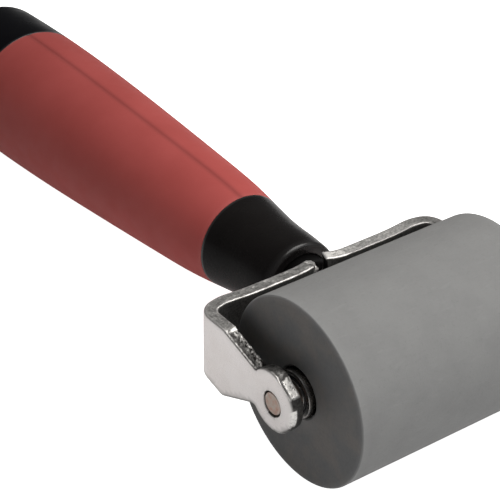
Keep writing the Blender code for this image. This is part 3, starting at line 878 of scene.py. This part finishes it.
def add_sheet(verts, faces, loops, w):
    """One face of the plate, filled between its rims with points on a grid so that the bends are round."""
    ids = [i for loop, _ in loops for i in loop]
    flat = [Vector(p) for _, loop in loops for p in loop]
    edges, start = [], 0
    for loop, _ in loops:
        n = len(loop)
        edges += [(start + i, start + (i + 1) % n) for i in range(n)]
        start += n
    outline = np.array([tuple(p) for p in flat])
    bend_from, bend_to = arm_u(CROSS_REAR_Y - BEND_R) - 9.0, arm_u(CROSS_REAR_Y - BEND_R) + 1.0
    stretches = [(0.0, 8.0, 0.5), (8.0, bend_from, 1.0), (bend_from, bend_to, 0.4),
                 (bend_to, PLAN_U[-1], 1.5)]
    columns = sorted({round(side * u, 3) for side in (1, -1) for stretch in stretches
                      for u in np.arange(*stretch)})
    grid = []
    for u in columns:
        for z in np.arange(-8.2, 8.3, 0.8):
            if np.min(np.hypot(outline[:, 0] - u, outline[:, 1] - z)) > 0.3:
                grid.append(Vector((u, z)))
    points, _, tris, origin, _, _ = delaunay_2d_cdt(flat + grid, edges, [], 0, 1e-5)
    inside = even_odd([np.array(loop) for _, loop in loops])
    index = {i: ids[min(given)] for i, given in enumerate(origin) if given and min(given) < len(ids)}
    for tri in tris:
        centre = sum((Vector(points[i]) for i in tri), Vector((0, 0))) / 3
        if not inside(centre.x, centre.y):
            continue
        for i in tri:
            if i not in index:
                index[i] = len(verts)
                verts.append(bent(*points[i], w))
        faces.append([index[i] for i in tri])


def even_odd(loops):
    """A test that says whether a point lies in the material between closed loops."""
    starts = np.vstack(loops)
    ends = np.vstack([np.roll(loop, -1, 0) for loop in loops])

    def inside(x, y):
        crosses = (starts[:, 1] > y) != (ends[:, 1] > y)
        a, b = starts[crosses], ends[crosses]
        at = a[:, 0] + (y - a[:, 1]) * (b[:, 0] - a[:, 0]) / (b[:, 1] - a[:, 1])
        return int((at > x).sum()) % 2 == 1
    return inside


# ---------------------------------------------------------------- roller, pin and bearings
def roller_rubber():
    """The rubber, with extra rings on its end and its side so that their shading stays even."""
    h = ROLLER_L / 2
    half = [(h - 2.6, BORE_R, 0), (h - BORE_CHAMFER, BORE_R, 0.15), (h, BORE_R + BORE_CHAMFER, 0.15),
            (h, 9.0, 0), (h, 14.0, 0), (h, 18.5, 0), (h, ROLLER_R, ROLLER_EDGE), (h - 2.0, ROLLER_R, 0),
            (h - 9.0, ROLLER_R, 0), (h - 18.0, ROLLER_R, 0)]
    verts, faces = turned(rounded(both_ends(half), 5), "X", 240)
    add_piece("roller_cover", verts, faces, ON_ROLLER, ROLLER, ["roller_rubber"],
              GROUND_RUBBER)


def axle_pin():
    """The pin, its edges rounded and its ends dished by a hair."""
    low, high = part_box("axle_pin")
    end = (high.x - low.x) / 2 / MM
    dish = end - 0.05
    half = [(end - 3.0, PIN_R, 0), (end, PIN_R, PIN_EDGE), (end, 1.5, 0), (dish, 0.9, 0), (dish, 0, 0)]
    verts, faces = turned(rounded(both_ends(half), 4), "X", 72)
    add_piece("pin", verts, faces, ON_TOOL, FORK, ["axle_pin"], PIN_STEEL)


def ball_track(wall_r):
    """The +X half of the track that the balls run in, across the wall of a ring."""
    deepest = 90 if wall_r > BALL_PITCH_R else -90
    reach = math.degrees(math.acos(abs(wall_r - BALL_PITCH_R) / GROOVE_R))
    turns = [deepest - math.copysign(reach * k, deepest) for k in (0.1, 0.4, 0.7, 1.0)]
    return [(*arc(0.0, BALL_PITCH_R, GROOVE_R, turn, turn, 1)[0], 0) for turn in turns]


def seal_outline(out):
    """A seal that faces out: a lip at its inner rim, a dished face and a bead at its outer rim."""
    at = out * SEAL_AT
    lo, hi = SEAL_R
    back, dish, lip, bead = at - out * 0.2, at - out * 0.02, at + out * 0.12, at + out * 0.14
    return [(back, lo, 0.05), (lip, lo, 0.08), (lip, lo + 0.3, 0.05), (dish, lo + 0.38, 0.05),
            (dish, hi - 0.3, 0.05), (bead, hi - 0.22, 0.05), (bead, hi, 0.08), (back, hi, 0.05)]


def bearing(side):
    """The rings and seals of the bearing at one end; its balls and cage stay as they are."""
    sign = -1 if side == "left" else 1
    place = Matrix.Translation(middle(f"bearing_{side}_outer_ring"))
    h = BEARING_W / 2
    for part, ((near, near_edge), (far, far_edge)), body in (("outer_ring", RING_OUTER, ROLLER),
                                                             ("inner_ring", RING_INNER, FORK)):
        half = ball_track(near) + [(h, near, near_edge), (h, far, far_edge), (h - 1.0, far, 0)]
        verts, faces = turned(rounded(both_ends(half), 4), "X", 96)
        node = f"bearing_{side}_{part}"
        add_piece(f"{node}_fine", verts, faces, place, body, [node], BEARING_STEEL)
    for which, out in (("outer", sign), ("inner", -sign)):
        verts, faces = turned(rounded(seal_outline(out), 3), "X", 96)
        node = f"bearing_{side}_{which}_seal"
        add_piece(f"{node}_fine", verts, faces, place, ROLLER, [node], SEAL_RUBBER)


# ---------------------------------------------------------------- handle
def skin(low, high, count):
    """The handle's outside from one place along it to another."""
    return [(float(s), float(handle_radius(s)), 0) for s in np.linspace(low, high, count)]


def on_skin(s, r):
    """Whether a point at s along the handle and r from its axis is on the handle's outside."""
    return r > handle_radius(s) - SKIN_DEPTH


def soften(corner):
    """An end of the skin with the small rounding of a joint between two handle pieces."""
    return (*corner[:2], JOIN_EDGE)


def seam(s, r, degrees):
    """Fine parting line along the top and bottom of the moulded grip."""
    if not on_skin(s, r):
        return 0.0
    off = min(abs((degrees - f + 180) % 360 - 180) for f in (90, 270))
    across = math.radians(off) * r
    return SEAM_DEPTH * math.exp(-(across / SEAM_HALF_W) ** 2 * 2.5)


def grip_sleeve():
    """The soft grip, with its parting line cut in and marked for painted shade along it."""
    lo, hi = GRIP_S[0] + JOIN_GAP, GRIP_S[1] - JOIN_GAP
    inner = [(float(s), float(handle_radius(s)) - GRIP_WALL, 0) for s in np.linspace(hi, lo, 8)]
    outer = skin(lo, hi, 70)
    outer[0], outer[-1] = soften(outer[0]), soften(outer[-1])
    verts, faces = turned(rounded(outer + inner, 3), "Y", angles(180, (90, 270)), seam)
    line = [math.exp(-(x / SEAM_SHADOW) ** 2) if on_skin(s, math.hypot(x, z)) else 0.0 for x, s, z in verts]
    add_piece("grip", verts, faces, ON_HANDLE, FORK, ["grip_sleeve"], RED, dict(seam=line))


def front_ferrule():
    """The black front end, from its rounded nose at the collar to the grip."""
    lo, hi = FERRULE_S[0], FERRULE_S[1] - JOIN_GAP
    nose_r = float(handle_radius(lo))
    hole_r, inside = COLLAR_R + COLLAR_GAP, lo + FERRULE_FRONT
    corners = [(lo, hole_r, 0.15), (lo, nose_r, FERRULE_NOSE)] + skin(lo + 2.0, hi, 28)
    corners[-1] = soften(corners[-1])
    corners += [(hi, FERRULE_BORE_R, 0), (inside, FERRULE_BORE_R, 0), (inside, hole_r, 0)]
    verts, faces = turned(rounded(corners, 6), "Y", 168)
    add_piece("ferrule", verts, faces, ON_HANDLE, FORK, ["front_ferrule"], BLACK)


def end_cap():
    """The black rear end, with a wide rounded rim and a small flat butt."""
    lo, hi = CAP_S[0] + JOIN_GAP, CAP_S[1]
    end_r = float(handle_radius(hi))
    corners = skin(lo, hi - 2 * CAP_CORNER - 0.4, 20)
    corners[0] = soften(corners[0])
    corners += [(hi - CAP_DOME, end_r, CAP_CORNER), (hi, 0.5 * end_r, 6.0), (hi, CAP_BUTT_R, 0),
                (hi, 0.0, 0), (hi - CAP_WALL, 0.0, 0), (hi - CAP_WALL, CAP_BORE_R, 0),
                (lo, CAP_BORE_R + 0.1, 0)]
    verts, faces = turned(rounded(corners, 14), "Y", 168)
    add_piece("cap", verts, faces, ON_HANDLE, FORK, ["end_cap"], CAP_BLACK)


def neck_collar():
    """The collar on the tang, from the crossbar into the ferrule."""
    low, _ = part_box("neck_collar")
    front = (low.y - ON_HANDLE.translation.y) / MM + COLLAR_LEAN
    rear = FERRULE_S[0] + COLLAR_IN
    corners = [(front, COLLAR_BORE_R, 0.1), (front, COLLAR_R, COLLAR_EDGE), (front + 2.0, COLLAR_R, 0),
               (rear, COLLAR_R, 0), (rear, COLLAR_BORE_R, 0)]
    verts, faces = turned(rounded(corners, 6), "Y", 120)
    add_piece("neck", verts, faces, ON_HANDLE, FORK, ["neck_collar"], NECK_PLASTIC)


# ---------------------------------------------------------------- parts kept from the CAD
KEPT = {
    "axle_spacer_tube": PIN_STEEL, "roller_core": ALUMINIUM, "handle_tang": TANG_STEEL,
    "tang_lock_pin": TANG_STEEL, "handle_core": CORE_PLASTIC,
    "bearing_left_balls_and_cage": BEARING_STEEL, "bearing_right_balls_and_cage": BEARING_STEEL}


def keep_cad_parts():
    """Give the hidden pieces, which stay as the CAD has them, their materials."""
    for name, look in KEPT.items():
        node = frame["nodes"][name]
        for slot in node.material_slots:
            slot.material = look
        if not node.material_slots:
            node.data.materials.append(look)


# ---------------------------------------------------------------- stage
FLOOR_SIZE = 6.0  # places and sizes of the stage are in metres
TABLE_WHITE, TABLE_GLOW = 0.9, 1.0
PAPER_GREY, PAPER_GLOW, PAPER_DROP = 0.52, 0.28, 0.0005
CAMERA_AT = (-0.22767, -0.32735, 0.26828)
CAMERA_AZIMUTH, CAMERA_ELEVATION, CAMERA_ROLL = -36.575, 33.215, 0.307
CAMERA_LENS, SENSOR = 153.71, 36.0  # in mm
LIGHTS = [  # name, direction it comes from, distance, size, power, colour
    ("key", (0.33, -0.17, 0.92), 0.9, 0.75, 8.0, (1.0, 0.985, 0.96)),
    ("front", (0.60, -0.75, 0.22), 1.2, 0.9, 3.8, (0.98, 0.99, 1.0)),
]
SKY = 0.16


def plane(name, height, look):
    """A level square around the world's origin."""
    f = FLOOR_SIZE / 2
    corners = [(-f, -f, height), (f, -f, height), (f, f, height), (-f, f, height)]
    mesh = bpy.data.meshes.new(name)
    mesh.from_pydata(corners, [], [(0, 1, 2, 3)])
    mesh.materials.append(look)
    obj = bpy.data.objects.new(name, mesh)
    bpy.context.scene.collection.objects.link(obj)
    return obj


def glowing(name, grey, glow):
    """A matt material that is lit from behind."""
    return Look(name).finish((grey, grey, grey), 0.9, Specular_IOR_Level=0.1,
                             Emission_Color=(1.0, 1.0, 1.0), Emission_Strength=glow)


def floor():
    """A backlit white table top to look at, and the pale grey paper that lights the tool from below."""
    top = plane("floor", 0.0, glowing("white_table", TABLE_WHITE, TABLE_GLOW))
    top.visible_diffuse = top.visible_glossy = top.visible_shadow = False
    under = plane("floor_paper", -PAPER_DROP, glowing("pale_paper", PAPER_GREY, PAPER_GLOW))
    under.visible_camera = False


def stage():
    """The floor, a white sky and the soft lights, which are aimed between the roller and the grip."""
    floor()
    world = bpy.data.worlds.new("studio")
    world.use_nodes = True
    sky = world.node_tree.nodes["Background"].inputs
    sky["Color"].default_value, sky["Strength"].default_value = (1, 1, 1, 1), SKY
    bpy.context.scene.world = world
    aim = middle("roller_rubber").lerp(middle("grip_sleeve"), 0.4)
    for name, towards, distance, size, power, colour in LIGHTS:
        data = bpy.data.lights.new(name, 'AREA')
        data.shape, data.size, data.energy, data.color = 'SQUARE', size, power, colour
        lamp = bpy.data.objects.new(name, data)
        direction = Vector(towards).normalized()
        lamp.location = aim + direction * distance
        lamp.rotation_euler = direction.to_track_quat('Z', 'Y').to_euler()
        bpy.context.scene.collection.objects.link(lamp)


def camera():
    """A long lens from the front left, above the roller, and plain colours without a film look."""
    data = bpy.data.cameras.new("camera")
    data.lens, data.sensor_width = CAMERA_LENS, SENSOR
    data.clip_start, data.clip_end = 0.02, 20.0
    obj = bpy.data.objects.new("camera", data)
    turn = (Matrix.Rotation(math.radians(CAMERA_AZIMUTH), 4, 'Z')
            @ Matrix.Rotation(math.radians(90 - CAMERA_ELEVATION), 4, 'X')
            @ Matrix.Rotation(math.radians(CAMERA_ROLL), 4, 'Z'))
    obj.matrix_world = Matrix.Translation(CAMERA_AT) @ turn
    bpy.context.scene.collection.objects.link(obj)
    bpy.context.scene.camera = obj
    bpy.context.scene.view_settings.view_transform = 'Standard'
    bpy.context.scene.view_settings.look = 'None'


camera()
stage()
keep_cad_parts()
fork_frame()
axle_pin()
roller_rubber()
bearing("left")
bearing("right")
neck_collar()
front_ferrule()
grip_sleeve()
end_cap()
